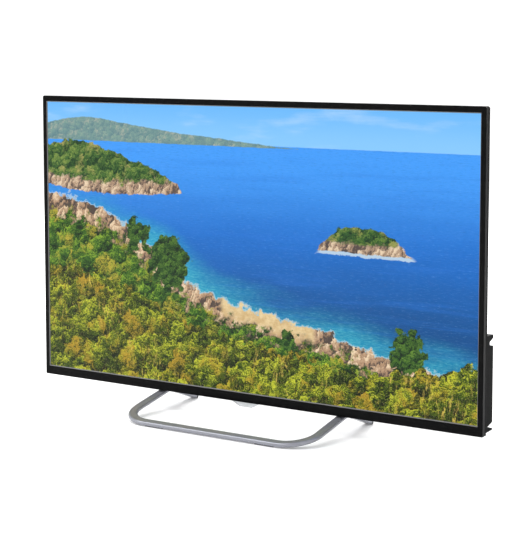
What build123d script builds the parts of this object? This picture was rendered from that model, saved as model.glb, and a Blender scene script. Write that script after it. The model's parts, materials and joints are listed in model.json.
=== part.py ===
from build123d import *
import os
from math import cos, radians, sin, tan

os.makedirs("parts", exist_ok=True)

# Flat screen television: an edge-lit panel in a thin shell, a deeper cover for the electronics
# across the lower back, and one bent oval tube as the stand. Sizes are in millimetres.
# X runs to the viewer's right, Y from the front to the back and Z up. The origin lies on the
# floor, under the middle of the footprint.

# Screen and outline
screen_width = 941.2
screen_height = 529.4
bezel_side = 10.9
bezel_top = 12.4
bezel_bottom = 18.6
top_corner_radius = 4.5
bottom_corner_radius = 1.2

# Depths from the front face
bezel_depth = 8.4
thin_depth = 17.5
full_depth = 50.0

# Front bezel
bezel_face = 2.0
bezel_wall = 1.8
bezel_edge_round = 0.7
inner_bevel = 1.6

# Panel stack, from the front to the back
foam_gap = 0.3
glass_thickness = 1.4
glass_margin = 4.5
glass_fit = 0.3
frame_rim = 3.6
frame_ledge = 1.2
frame_lip_margin = 0.8
film_thickness = 0.3
film_margin = 3.0
guide_thickness = 3.0
chassis_thickness = 1.0

# Light strip along the bottom edge of the light guide
led_count = 48
led_length = 5.0
led_height = 1.0
led_gap = 0.3
led_margin = 8.0
strip_thickness = 1.2
spreader_margin = 4.0

# Rear cover
cover_step = 0.4
cover_wall = 1.8
cover_edge_round = 3.0
window_margin = 22.0
window_low = 20.0
window_high = 162.0
top_vent_count = 56
top_vent_pitch = 10.0
top_vent_width = 3.0
top_vent_height = 18.0
top_vent_drop = 46.0

# Electronics cover, with heights above the set's bottom edge
deep_inset = 5.0
deep_wall = 2.2
deep_edge_round = 1.0
lip_rise = 1.2
lip_tip = 2.6
groove_depth = 31.0
groove_height = 11.6
box_low = 16.8
box_high = 149.5
rail_groove_depth = 36.0
rail_groove_low = 152.5
rail_groove_high = 157.5
rail_low = 163.0
rail_high = 169.0
vent_rows = 2
vent_columns = 34
vent_pitch = 9.0
vent_width = 3.2
vent_height = 24.0
vent_row_gap = 8.0
vent_top = 138.0
grille_slots = 22
grille_pitch = 6.0
grille_slot_width = 3.0
grille_slot_depth = 12.0

# Wall mounting pattern
vesa_spacing = 200.0
vesa_height = 290.0
vesa_thread_radius = 3.0
vesa_insert_radius = 6.0
vesa_hole_clearance = 0.4

# Screws, bosses and standoffs
screw_radius = 1.5
screw_head_radius = 3.0
screw_head_height = 2.0
screw_bite = 5.0
screw_slot_width = 0.9
screw_slot_depth = 0.9
thread_clearance = 0.05
hole_clearance = 0.2
boss_radius = 4.0
edge_screw_inset = 14.0
well_radius = 4.5
well_floor = 3.0
well_inner_x = 240.0
well_side_inset = 56.5
well_low = 30.0
well_high = 140.0
standoff_height = 10.0
standoff_radius = 3.0
board_hole_inset = 4.2
board_screw_radius = 1.5
board_screw_head_radius = 2.8
board_screw_head_height = 1.8
board_screw_length = 6.0

# Circuit boards
board_thickness = 1.6
board_height = 70.0
board_ceiling_gap = 0.3
main_board_left_x = 3.0
main_board_side_margin = 9.5
power_board_right_x = -5.0
power_board_width = 156.0
thin_board_thickness = 1.2
tcon_width = 150.0
tcon_height = 36.0
tcon_drop = 120.4
tcon_chip_size = 22.0
tcon_chip_height = 2.0
driver_board_height = 12.0
driver_board_inner_x = 40.0
driver_board_margin = 59.0
driver_board_drop = 28.4

# Parts on the main board
sink_size = 42.0
sink_height = 14.0
sink_base = 3.0
sink_fins = 9
sink_fin_thickness = 1.2
sink_x = 30.0
sink_z = 46.0
tuner_width = 26.0
tuner_height = 34.0
tuner_depth = 9.0
tuner_x = -40.0
tuner_z = 40.0
chip_size = 12.0
chip_height = 1.2
chip_pitch = 16.0
chip_rows = 3
chip_x = -14.0
chip_z = 52.0

# Parts on the power board
transformer_width = 36.0
transformer_height = 30.0
transformer_depth = 20.0
transformer_core = 9.0
transformer_x = 26.0
transformer_z = 28.0
capacitor_radius = 8.0
capacitor_height = 22.0
capacitor_pitch = 20.0
capacitor_count = 3
capacitor_x = -42.0
capacitor_z = 40.0
power_sink_width = 3.0
power_sink_height = 36.0
power_sink_depth = 20.0
power_sink_gap = 14.0
power_sink_x = 60.0
power_sink_z = 28.0
power_sink_fin = 4.0
power_sink_fin_height = 1.5
power_sink_fins = 5

# Sockets, each as width along X, height along Y and depth along Z
socket_gap = 4.0
socket_margin = 6.0
socket_clearance = 0.3
socket_wall = 0.8
network_width = 16.0
network_height = 13.5
network_depth = 16.0
antenna_width = 14.0
antenna_depth = 18.0
antenna_radius = 4.8
antenna_pin_radius = 1.2
hdmi_width = 15.6
hdmi_height = 6.2
hdmi_depth = 12.0
hdmi_count = 3
usb_width = 14.6
usb_height = 7.2
usb_depth = 14.0
usb_count = 2
tongue_share = 0.7
tongue_thickness = 1.2
audio_width = 9.0
audio_height = 8.0
audio_depth = 13.0
audio_radius = 1.8
inlet_width = 24.0
inlet_height = 14.0
inlet_depth = 20.0
inlet_mouth_width = 18.0
inlet_mouth_height = 9.0
inlet_mouth_depth = 14.0
inlet_pin_radius = 1.2
inlet_pin_spacing = 8.6
inlet_pin_length = 10.0

# Recesses for the plugs
recess_high = 70.0
mains_recess_x = -120.0
mains_recess_width = 44.0

# Loudspeakers
speaker_side_gap = 15.0
speaker_height = 60.0
speaker_depth = 34.0
speaker_wall = 2.0
speaker_low = 22.0
cone_share = 0.64
cone_width = 24.0
cone_flange = 1.6
cone_rim = 3.0
cone_depth = 5.0
cone_fit = 0.2
cone_taper = 20.0
magnet_length = 30.0
magnet_width = 16.0
magnet_height = 10.0

# Leads
lead_radius = 1.2
lead_gap = 7.0
lead_lift = 8.0
lead_bend = 6.0
lead_end_inset = 40.0
harness_radius = 2.0
harness_lift = 12.0
harness_bend = 8.0
harness_reach = 14.0
harness_gap = 3.5
ribbon_width = 28.0
ribbon_thickness = 0.4
ribbon_x = 60.0
ribbon_turn_height = 166.0
ribbon_bend = 3.0
ribbon_overlap = 6.0

# Remote control window
window_top_width = 60.0
window_bottom_width = 27.0
window_drop = 8.5
window_depth = 6.0
window_setback = 1.4
window_stem_width = 20.0
window_stem_depth = 4.0
window_stem_rise = 5.0
stem_clearance = 0.2
receiver_board_width = 34.0
receiver_board_height = 7.2
receiver_size = 3.4
receiver_width = 6.0

# Keys on the back of the electronics cover
key_names = ["power", "source", "volume_up", "volume_down", "channel_up", "channel_down"]
key_side_inset = 27.5
key_low = 46.0
key_pitch = 14.0
key_radius = 4.0
key_stand = 1.2
key_round = 0.4
key_clearance = 0.25
key_flange_radius = 5.4
key_flange_thickness = 1.2
key_flange_gap = 0.15
key_stem_radius = 1.5
key_stem_length = 2.4
key_travel = 0.8
key_stop_gap = 0.1
switch_size = 6.0
switch_height = 2.0
key_board_width = 16.0
key_board_margin = 14.0
key_pillar_radius = 3.0
key_pillar_inset = 4.0

# Stand
tube_width = 18.0
tube_height = 8.0
tube_wall = 1.4
apex_bend = 18.0
corner_bend = 55.0
leg_x = 198.0
front_leg_run = 148.0
front_leg_angle = 11.3
rear_leg_angle = 20.6
apex_setback = 12.5
leg_clearance = 0.3
bar_pad_thickness = 1.5
bar_pad_length = 40.0
bar_pad_width = 8.0
bar_pad_x = 120.0
foot_flat = 0.6
foot_cap_length = 5.0
foot_cap_round = 0.8
foot_plug_length = 12.0
foot_plug_clearance = 0.1
bracket_width = 40.0
bracket_thickness = 4.0
bracket_rise = 58.0
bracket_corner = 4.0
bracket_clearance = 0.5
mount_block_width = 44.0
mount_block_low = 24.0
stand_screw_radius = 2.5
stand_screw_head_radius = 4.5
stand_screw_head_height = 3.5
stand_screw_bite = 12.0
stand_screw_spacing = 22.0
stand_screw_height = 44.0
access_hole_radius = 5.5

overrun = 1.0

# Stand heights and lengths, worked out from its two leg angles
front_slope = radians(front_leg_angle)
rear_slope = radians(rear_leg_angle)
tube_round = tube_height / 2
tube_flat = (tube_width - tube_height) / 2
bar_z = bar_pad_thickness + tube_round + tube_flat * sin(front_slope)
apex_z = bar_z + front_leg_run * tan(front_slope)
foot_end_z = (
    (tube_round - foot_cap_round) * cos(rear_slope)
    + foot_cap_round * (1 - sin(rear_slope))
    - foot_flat
)
rear_leg_run = (apex_z - foot_end_z) / tan(rear_slope)
front_extent = front_leg_run + tube_round + tube_flat * cos(front_slope)
rear_extent = (
    rear_leg_run
    + (tube_round - foot_cap_round) * sin(rear_slope)
    + foot_cap_round * (1 - cos(rear_slope))
)
apex_y = (front_extent - rear_extent) / 2
bar_y = apex_y - front_leg_run
foot_end_y = apex_y + rear_leg_run
tube_end_y = foot_end_y - foot_cap_length * cos(rear_slope)
tube_end_z = foot_end_z + foot_cap_length * sin(rear_slope)
apex_share = 1 / cos((front_slope + rear_slope) / 2)
lean = (rear_slope - front_slope) / 2
apex_top_y = apex_y - apex_bend * apex_share * sin(lean)
apex_axis_z = apex_z + apex_bend - apex_bend * apex_share * cos(lean)
apex_top_z = apex_axis_z + tube_round

# Places of the set on the stand
set_width = screen_width + 2 * bezel_side
set_height = screen_height + bezel_bottom + bezel_top
front_y = apex_y - apex_setback - thin_depth
bezel_back_y = front_y + bezel_depth
shell_back_y = front_y + thin_depth
deep_back_y = front_y + full_depth
low_z = apex_z - apex_setback * tan(front_slope) + tube_round / cos(front_slope) + leg_clearance
high_z = low_z + set_height
set_middle_z = low_z + set_height / 2
screen_middle_z = low_z + bezel_bottom + screen_height / 2

# Depths of the panel stack
glass_y = front_y + bezel_face + foam_gap
ledge_y = glass_y + glass_thickness
prism_y = ledge_y + frame_ledge
diffuser_y = prism_y + film_thickness
guide_y = diffuser_y + film_thickness
reflector_y = guide_y + guide_thickness
chassis_y = reflector_y + film_thickness
chassis_back_y = chassis_y + chassis_thickness
frame_reach = glass_margin + glass_fit + frame_rim
frame_width = screen_width + 2 * frame_reach
frame_height = screen_height + 2 * frame_reach
shell_inner_y = shell_back_y - cover_wall

# Places inside the electronics cover
deep_half_width = set_width / 2 - deep_inset
deep_inner_y = deep_back_y - deep_wall
key_x = deep_half_width - key_side_inset
well_outer_x = deep_half_width - well_side_inset
speaker_x = (well_inner_x + well_outer_x) / 2
speaker_length = well_outer_x - well_inner_x - 2 * speaker_side_gap
cone_length = speaker_length * cone_share
lip_z = max(apex_top_z + leg_clearance, low_z)
recess_y = shell_back_y + deep_wall
board_y = chassis_back_y + standoff_height
board_back_y = board_y + board_thickness
board_low_z = low_z + recess_high + deep_wall + board_ceiling_gap
board_middle_z = board_low_z + board_height / 2
bracket_y = apex_top_y - bracket_thickness / 2
bracket_back_y = bracket_y + bracket_thickness
socket_y = board_back_y
socket_z = low_z + recess_high


def facing(y):
    """Plane across the set at depth y. Its sketches read X and Z, and it looks forward."""
    return Plane.XZ.offset(-y)


def block(x, y, z, width, depth, height, mode=Mode.ADD):
    """Block centred on x, running back from y by depth and up from z by height."""
    with Locations((x, y + depth / 2, z + height / 2)):
        Box(width, depth, height, mode=mode)


def panel(x, z, width, height, y, depth, mode=Mode.ADD):
    """Upright plate centred on x and z, running back from y by depth."""
    block(x, y, z - height / 2, width, depth, height, mode)


def studs(places, radius, y, depth, mode=Mode.ADD):
    """Round bars along Y at each place in X and Z, running back from y by depth."""
    with BuildSketch(facing(y)) as dots:
        with Locations(*places):
            Circle(radius)
    extrude(dots.sketch, amount=-depth, mode=mode)


def set_outline(y, inset):
    """Outline of the set's face at depth y, drawn in by inset, with rounded corners."""
    with BuildSketch(facing(y)) as outline:
        with Locations((0, set_middle_z)):
            Rectangle(set_width - 2 * inset, set_height - 2 * inset)
        corners = outline.vertices().group_by(Axis.Y)
        fillet(corners[-1], radius=top_corner_radius - inset)
        if bottom_corner_radius > inset:
            fillet(outline.vertices().group_by(Axis.Y)[0], radius=bottom_corner_radius - inset)
    return outline.sketch


def screws(places, seat_y, radius, head_radius, head_height, length):
    """Cross-head screws put in from the back, with their heads seated at seat_y."""
    studs(places, head_radius, seat_y, head_height)
    studs(places, radius, seat_y - length, length)
    with BuildSketch(facing(seat_y + head_height)) as cross:
        with Locations(*places):
            Rectangle(head_radius, screw_slot_width)
            Rectangle(screw_slot_width, head_radius)
    extrude(cross.sketch, amount=screw_slot_depth, mode=Mode.SUBTRACT)


def keep(piece, name):
    """Labels a finished piece and writes its file."""
    piece.part.label = name
    export_step(piece.part, f"parts/{name}.step")


def mirrored(places):
    """The same places on both sides of the middle plane."""
    return [(side * x, z) for side in (-1, 1) for x, z in places]


# Screw places
edge_x = set_width / 2 - edge_screw_inset
side_screw_shares = [0.4, 0.62, 0.84]
top_screw_shares = [0.16, 0.5, 0.82]
edge_places = mirrored(
    [(edge_x, low_z + share * set_height) for share in side_screw_shares]
    + [(edge_x * share, high_z - edge_screw_inset) for share in top_screw_shares]
)
well_places = mirrored(
    [(x, low_z + z) for x in (well_inner_x, well_outer_x) for z in (well_low, well_high)]
)
vesa_places = mirrored(
    [(vesa_spacing / 2, low_z + vesa_height + side * vesa_spacing / 2) for side in (-1, 1)]
)
stand_screw_places = mirrored(
    [(leg_x + side * stand_screw_spacing / 2, low_z + stand_screw_height) for side in (-1, 1)]
)


def board_places(x, width):
    """Screw places near the corners of an upright board."""
    half_width = width / 2 - board_hole_inset
    half_height = board_height / 2 - board_hole_inset
    return [(x + a * half_width, board_middle_z + b * half_height) for a in (-1, 1) for b in (-1, 1)]


# Sockets stand in one row along the main board's lower edge
socket_row = (
    [("network", network_width, network_height)]
    + [("antenna", antenna_width, antenna_width)]
    + [("hdmi", hdmi_width, hdmi_height)] * hdmi_count
    + [("usb", usb_width, usb_height)] * usb_count
    + [("audio", audio_width, audio_height)]
)
socket_row_width = sum(width for _, width, _ in socket_row) + socket_gap * (len(socket_row) - 1)
main_board_width = socket_row_width + 2 * main_board_side_margin
main_board_x = main_board_left_x + main_board_width / 2
power_board_x = power_board_right_x - power_board_width / 2
main_places = board_places(main_board_x, main_board_width)
power_places = board_places(power_board_x, power_board_width)
socket_spots = []
row_x = main_board_x - socket_row_width / 2
for socket_kind, socket_width, socket_height in socket_row:
    socket_spots.append((socket_kind, row_x + socket_width / 2, socket_width, socket_height))
    row_x += socket_width + socket_gap
signal_recess_width = socket_row_width + 2 * socket_margin
recess_places = [(main_board_x, signal_recess_width), (mains_recess_x, mains_recess_width)]


def spots_of(kind):
    """Places along X of the sockets of one kind."""
    return [x for name, x, _, _ in socket_spots if name == kind]


# Front bezel: a ring with a folded rim, a bright inner bevel and a slot for the remote window
with BuildPart() as front_bezel:
    extrude(set_outline(front_y, 0), amount=-bezel_depth)
    fillet(front_bezel.faces().sort_by(Axis.Y)[0].edges(), radius=bezel_edge_round)
    rim_depth = bezel_depth - bezel_face
    extrude(set_outline(front_y + bezel_face, bezel_wall), amount=-rim_depth, mode=Mode.SUBTRACT)
    panel(0, screen_middle_z, screen_width, screen_height, front_y, bezel_face, Mode.SUBTRACT)
    front_opening = front_bezel.faces().sort_by(Axis.Y)[0].inner_wires()[0]
    chamfer(front_opening.edges(), length=inner_bevel)
    stem_y = front_y + window_setback + (window_depth - window_stem_depth) / 2
    block(
        0,
        stem_y - stem_clearance,
        low_z,
        window_stem_width + 2 * stem_clearance,
        window_stem_depth + 2 * stem_clearance,
        bezel_wall,
        Mode.SUBTRACT,
    )
keep(front_bezel, "front_bezel")

# Liquid crystal panel
glass_width = screen_width + 2 * glass_margin
glass_height = screen_height + 2 * glass_margin
with BuildPart() as lcd_panel:
    panel(0, screen_middle_z, glass_width, glass_height, glass_y, glass_thickness)
keep(lcd_panel, "lcd_panel")

# Middle frame: a rim round the glass and a ledge behind its edge
with BuildPart() as mid_frame:
    frame_depth = prism_y - glass_y
    panel(0, screen_middle_z, frame_width, frame_height, glass_y, frame_depth)
    pocket_width = glass_width + 2 * glass_fit
    pocket_height = glass_height + 2 * glass_fit
    panel(0, screen_middle_z, pocket_width, pocket_height, glass_y, glass_thickness, Mode.SUBTRACT)
    ledge_width = screen_width + 2 * frame_lip_margin
    ledge_height = screen_height + 2 * frame_lip_margin
    panel(0, screen_middle_z, ledge_width, ledge_height, ledge_y, frame_ledge, Mode.SUBTRACT)
keep(mid_frame, "mid_frame")

# Optical sheets and light guide
film_width = screen_width + 2 * film_margin
film_height = screen_height + 2 * film_margin
with BuildPart() as prism_film:
    panel(0, screen_middle_z, film_width, film_height, prism_y, film_thickness)
keep(prism_film, "prism_film")

with BuildPart() as diffuser_film:
    panel(0, screen_middle_z, film_width, film_height, diffuser_y, film_thickness)
keep(diffuser_film, "diffuser_film")

with BuildPart() as light_guide_plate:
    panel(0, screen_middle_z, film_width, film_height, guide_y, guide_thickness)
keep(light_guide_plate, "light_guide_plate")

with BuildPart() as reflector_sheet:
    panel(0, screen_middle_z, film_width, film_height, reflector_y, film_thickness)
keep(reflector_sheet, "reflector_sheet")

# Light strip under the guide's lower edge, on its heat spreader
guide_low_z = screen_middle_z - film_height / 2
led_z = guide_low_z - led_gap - led_height
strip_z = led_z - strip_thickness
tray_z = screen_middle_z - frame_height / 2 + chassis_thickness
with BuildPart() as led_packages:
    led_pitch = (film_width - 2 * led_margin) / led_count
    with Locations((0, guide_y + guide_thickness / 2, led_z + led_height / 2)):
        with GridLocations(led_pitch, 0, led_count, 1):
            Box(led_length, guide_thickness, led_height)
keep(led_packages, "led_packages")

with BuildPart() as led_strip:
    block(0, guide_y, strip_z, film_width, guide_thickness, strip_thickness)
keep(led_strip, "led_strip")

with BuildPart() as led_heat_spreader:
    spreader_width = frame_width - 2 * spreader_margin
    block(0, prism_y, tray_z, spreader_width, chassis_y - prism_y, strip_z - tray_z)
keep(led_heat_spreader, "led_heat_spreader")

# Rear chassis: a pressed tray behind the stack, with bosses for the covers
with BuildPart() as rear_chassis:
    tray_depth = chassis_back_y - prism_y
    panel(0, screen_middle_z, frame_width, frame_height, prism_y, tray_depth)
    hollow_width = frame_width - 2 * chassis_thickness
    hollow_height = frame_height - 2 * chassis_thickness
    hollow_depth = chassis_y - prism_y
    panel(0, screen_middle_z, hollow_width, hollow_height, prism_y, hollow_depth, Mode.SUBTRACT)
    studs(edge_places, boss_radius, chassis_back_y, shell_inner_y - chassis_back_y)
    studs(well_places, boss_radius, chassis_back_y, shell_back_y - chassis_back_y)
    bore_radius = screw_radius + thread_clearance
    boss_bore = shell_inner_y - chassis_back_y
    studs(edge_places, bore_radius, chassis_back_y, boss_bore, Mode.SUBTRACT)
    post_bore = shell_back_y - chassis_back_y
    studs(well_places, bore_radius, chassis_back_y, post_bore, Mode.SUBTRACT)
keep(rear_chassis, "rear_chassis")

# Rear cover: the thin shell behind the panel, open behind the electronics
with BuildPart() as rear_cover:
    shell_depth = shell_back_y - bezel_back_y
    extrude(set_outline(bezel_back_y, cover_step), amount=-shell_depth)
    fillet(rear_cover.faces().sort_by(Axis.Y)[-1].edges(), radius=cover_edge_round)
    inner_outline = set_outline(bezel_back_y, cover_step + cover_wall)
    extrude(inner_outline, amount=-(shell_depth - cover_wall), mode=Mode.SUBTRACT)
    window_width = 2 * (deep_half_width - window_margin)
    opening_height = window_high - window_low
    block(
        0, shell_inner_y, low_z + window_low, window_width, cover_wall, opening_height, Mode.SUBTRACT
    )
    studs(edge_places, screw_radius + hole_clearance, shell_inner_y, cover_wall, Mode.SUBTRACT)
    insert_hole = vesa_insert_radius + vesa_hole_clearance
    studs(vesa_places, insert_hole, shell_inner_y, cover_wall, Mode.SUBTRACT)
    with BuildSketch(facing(shell_inner_y)) as top_vents:
        with Locations((0, high_z - top_vent_drop)):
            with GridLocations(top_vent_pitch, 0, top_vent_count, 1):
                SlotOverall(top_vent_height, top_vent_width, rotation=90)
    extrude(top_vents.sketch, amount=-cover_wall, mode=Mode.SUBTRACT)
keep(rear_cover, "rear_cover")

with BuildPart() as rear_cover_screws:
    screws(
        edge_places,
        shell_back_y,
        screw_radius,
        screw_head_radius,
        screw_head_height,
        screw_bite + cover_wall,
    )
keep(rear_cover_screws, "rear_cover_screws")

# Threaded inserts for a wall bracket, riveted into the chassis and flush with the shell's back
with BuildPart() as vesa_inserts:
    insert_length = shell_back_y - chassis_back_y
    studs(vesa_places, vesa_insert_radius, chassis_back_y, insert_length)
    studs(vesa_places, vesa_thread_radius, chassis_back_y, insert_length, Mode.SUBTRACT)
keep(vesa_inserts, "vesa_inserts")

# Electronics cover, drawn as its side profile in Y and Z. A groove runs along it above the
# bottom lip and another below the top rail.
deep_profile = [
    (shell_back_y, lip_z),
    (deep_back_y, lip_z + lip_rise),
    (deep_back_y, lip_z + lip_rise + lip_tip),
    (front_y + groove_depth, low_z + groove_height),
    (deep_back_y, low_z + box_low),
    (deep_back_y, low_z + box_high),
    (front_y + rail_groove_depth, low_z + rail_groove_low),
    (front_y + rail_groove_depth, low_z + rail_groove_high),
    (deep_back_y, low_z + rail_low),
    (deep_back_y, low_z + rail_high),
    (shell_back_y, low_z + rail_high),
]
groove_inner_y = front_y + groove_depth - deep_wall
rail_inner_y = front_y + rail_groove_depth - deep_wall
hollow_profile = [
    (shell_back_y, lip_z + deep_wall),
    (groove_inner_y, lip_z + deep_wall + lip_rise),
    (groove_inner_y, low_z + groove_height + deep_wall),
    (deep_inner_y, low_z + box_low + deep_wall),
    (deep_inner_y, low_z + box_high - deep_wall),
    (rail_inner_y, low_z + rail_groove_low - deep_wall),
    (rail_inner_y, low_z + rail_high - deep_wall),
    (shell_back_y, low_z + rail_high - deep_wall),
]
key_places = [(key_x, low_z + key_low + key_pitch * step) for step in range(len(key_names))]
key_span = key_pitch * (len(key_names) - 1)
key_board_height = key_span + 2 * key_board_margin
key_board_z = low_z + key_low + key_span / 2
pillar_reach = key_board_height / 2 - key_pillar_inset
pillar_places = [(key_x, key_board_z - pillar_reach), (key_x, key_board_z + pillar_reach)]
key_flange_y = deep_inner_y - key_flange_gap - key_flange_thickness
key_stem_y = key_flange_y - key_stem_length
switch_y = key_stem_y - key_travel - key_stop_gap - switch_height

with BuildPart() as cover_hollow:
    hollow_half = deep_half_width - deep_wall
    with BuildSketch(Plane.YZ.offset(-hollow_half)):
        with BuildLine():
            Polyline(hollow_profile, close=True)
        make_face()
    extrude(amount=2 * hollow_half)
    for recess_x, recess_width in recess_places:
        block(
            recess_x,
            shell_back_y,
            low_z,
            recess_width + 2 * deep_wall,
            full_depth,
            recess_high + deep_wall,
            Mode.SUBTRACT,
        )
    studs(well_places, well_radius, shell_back_y, full_depth, Mode.SUBTRACT)
    studs(pillar_places, key_pillar_radius, switch_y, full_depth, Mode.SUBTRACT)

with BuildPart() as electronics_cover:
    with BuildSketch(Plane.YZ.offset(-deep_half_width)):
        with BuildLine():
            Polyline(deep_profile, close=True)
        make_face()
    extrude(amount=2 * deep_half_width)
    fillet(
        electronics_cover.edges().filter_by(Axis.X).group_by(Axis.Y)[-1],
        radius=deep_edge_round,
    )
    add(cover_hollow.part, mode=Mode.SUBTRACT)
    for recess_x, recess_width in recess_places:
        block(
            recess_x,
            recess_y,
            low_z + groove_height,
            recess_width,
            full_depth,
            recess_high - groove_height,
            Mode.SUBTRACT,
        )
    ceiling_z = low_z + recess_high
    for _, socket_x, socket_width, socket_height in socket_spots:
        block(
            socket_x,
            socket_y - socket_clearance,
            ceiling_z,
            socket_width + 2 * socket_clearance,
            socket_height + 2 * socket_clearance,
            deep_wall,
            Mode.SUBTRACT,
        )
    ceiling_depth = deep_inner_y - recess_y
    block(
        mains_recess_x,
        recess_y,
        ceiling_z,
        mains_recess_width,
        ceiling_depth,
        deep_wall,
        Mode.SUBTRACT,
    )
    head_bore = screw_head_radius + hole_clearance
    well_seat_y = shell_back_y + well_floor
    studs(well_places, head_bore, well_seat_y, full_depth, Mode.SUBTRACT)
    studs(well_places, screw_radius + hole_clearance, shell_back_y, well_floor, Mode.SUBTRACT)
    studs(stand_screw_places, access_hole_radius, deep_inner_y, deep_wall, Mode.SUBTRACT)
    studs(key_places, key_radius + key_clearance, deep_inner_y, deep_wall, Mode.SUBTRACT)
    with BuildSketch(facing(deep_inner_y)) as back_vents:
        for row in range(vent_rows):
            vent_drop = row * (vent_height + vent_row_gap)
            with Locations((0, low_z + vent_top - vent_height / 2 - vent_drop)):
                with GridLocations(vent_pitch, 0, vent_columns, 1):
                    SlotOverall(vent_height, vent_width, rotation=90)
    extrude(back_vents.sketch, amount=-deep_wall, mode=Mode.SUBTRACT)
    grille_y = (front_y + groove_depth + deep_inner_y) / 2
    with BuildSketch(Plane.XY.offset(low_z + groove_height)) as grilles:
        for side in (-1, 1):
            with Locations((side * speaker_x, grille_y)):
                with GridLocations(grille_pitch, 0, grille_slots, 1):
                    SlotOverall(grille_slot_depth, grille_slot_width, rotation=90)
    extrude(grilles.sketch, amount=box_low + deep_wall - groove_height, mode=Mode.SUBTRACT)
    for side in (-1, 1):
        block(
            side * leg_x,
            bracket_y - bracket_clearance,
            low_z,
            bracket_width + 2 * bracket_clearance,
            bracket_thickness + 2 * bracket_clearance,
            box_low + deep_wall,
            Mode.SUBTRACT,
        )
keep(electronics_cover, "electronics_cover")

with BuildPart() as electronics_cover_screws:
    screws(
        well_places,
        well_seat_y,
        screw_radius,
        screw_head_radius,
        screw_head_height,
        screw_bite + well_floor,
    )
keep(electronics_cover_screws, "electronics_cover_screws")


def circuit_board(x, width, places):
    """Upright board with a hole for each of its screws."""
    panel(x, board_middle_z, width, board_height, board_y, board_thickness)
    hole_radius = board_screw_radius + hole_clearance
    studs(places, hole_radius, board_y, board_thickness, Mode.SUBTRACT)


# Circuit boards on their standoffs
with BuildPart() as main_board:
    circuit_board(main_board_x, main_board_width, main_places)
keep(main_board, "main_board")

with BuildPart() as power_board:
    circuit_board(power_board_x, power_board_width, power_places)
keep(power_board, "power_board")

with BuildPart() as board_standoffs:
    standoff_places = main_places + power_places
    studs(standoff_places, standoff_radius, chassis_back_y, standoff_height)
    standoff_bore = board_screw_radius + thread_clearance
    studs(standoff_places, standoff_bore, chassis_back_y, standoff_height, Mode.SUBTRACT)
keep(board_standoffs, "board_standoffs")

with BuildPart() as board_screws:
    screws(
        main_places + power_places,
        board_back_y,
        board_screw_radius,
        board_screw_head_radius,
        board_screw_head_height,
        board_screw_length,
    )
keep(board_screws, "board_screws")

# Parts on the main board
with BuildPart() as processor_heat_sink:
    heat_x = main_board_x + sink_x
    heat_z = board_low_z + sink_z
    panel(heat_x, heat_z, sink_size, sink_size, board_back_y, sink_base)
    fin_pitch = (sink_size - sink_fin_thickness) / (sink_fins - 1)
    fin_depth = sink_height - sink_base
    with Locations((heat_x, board_back_y + sink_base + fin_depth / 2, heat_z)):
        with GridLocations(fin_pitch, 0, sink_fins, 1):
            Box(sink_fin_thickness, fin_depth, sink_size)
keep(processor_heat_sink, "processor_heat_sink")

with BuildPart() as tuner_can:
    can_x = main_board_x + tuner_x
    panel(can_x, board_low_z + tuner_z, tuner_width, tuner_height, board_back_y, tuner_depth)
keep(tuner_can, "tuner_can")

with BuildPart() as main_board_chips:
    for row in range(chip_rows):
        chip_row_z = board_low_z + chip_z - chip_pitch * row
        panel(main_board_x + chip_x, chip_row_z, chip_size, chip_size, board_back_y, chip_height)
keep(main_board_chips, "main_board_chips")

# Parts on the power board
with BuildPart() as power_transformer:
    winding_x = power_board_x + transformer_x
    winding_z = board_low_z + transformer_z
    winding_height = transformer_height - transformer_core
    panel(
        winding_x,
        winding_z,
        transformer_width,
        transformer_core,
        board_back_y,
        transformer_depth,
    )
    winding_depth = transformer_depth - transformer_core / 2
    winding_width = transformer_width - transformer_core
    panel(winding_x, winding_z, winding_width, winding_height, board_back_y, winding_depth)
keep(power_transformer, "power_transformer")

with BuildPart() as power_capacitors:
    capacitor_places = [
        (power_board_x + capacitor_x + capacitor_pitch * step, board_low_z + capacitor_z)
        for step in range(capacitor_count)
    ]
    studs(capacitor_places, capacitor_radius, board_back_y, capacitor_height)
keep(power_capacitors, "power_capacitors")

with BuildPart() as power_heat_sinks:
    fin_z = board_low_z + power_sink_z
    fin_step = (power_sink_height - power_sink_fin_height) / (power_sink_fins - 1)
    fin_y = board_back_y + power_sink_depth / 2
    for side in (-1, 1):
        plate_x = power_board_x + power_sink_x + side * power_sink_gap / 2
        plate_size = (power_sink_width, power_sink_height)
        panel(plate_x, fin_z, *plate_size, board_back_y, power_sink_depth)
        fin_x = plate_x + side * (power_sink_width + power_sink_fin) / 2
        for step in range(power_sink_fins):
            step_z = fin_z + fin_step * (step - (power_sink_fins - 1) / 2)
            with Locations((fin_x, fin_y, step_z)):
                Box(power_sink_fin, power_sink_depth, power_sink_fin_height)
keep(power_heat_sinks, "power_heat_sinks")

# Timing board and the long driver boards behind the panel's top edge
with BuildPart() as tcon_board:
    tcon_z = high_z - tcon_drop
    panel(0, tcon_z, tcon_width, tcon_height, chassis_back_y, thin_board_thickness)
    chip_face_y = chassis_back_y + thin_board_thickness
    panel(0, tcon_z, tcon_chip_size, tcon_chip_size, chip_face_y, tcon_chip_height)
keep(tcon_board, "tcon_board")

with BuildPart() as panel_driver_boards:
    driver_board_outer_x = frame_width / 2 - driver_board_margin
    driver_board_length = driver_board_outer_x - driver_board_inner_x
    for side in (-1, 1):
        panel(
            side * (driver_board_inner_x + driver_board_outer_x) / 2,
            high_z - driver_board_drop,
            driver_board_length,
            driver_board_height,
            chassis_back_y,
            thin_board_thickness,
        )
keep(panel_driver_boards, "panel_driver_boards")

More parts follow.
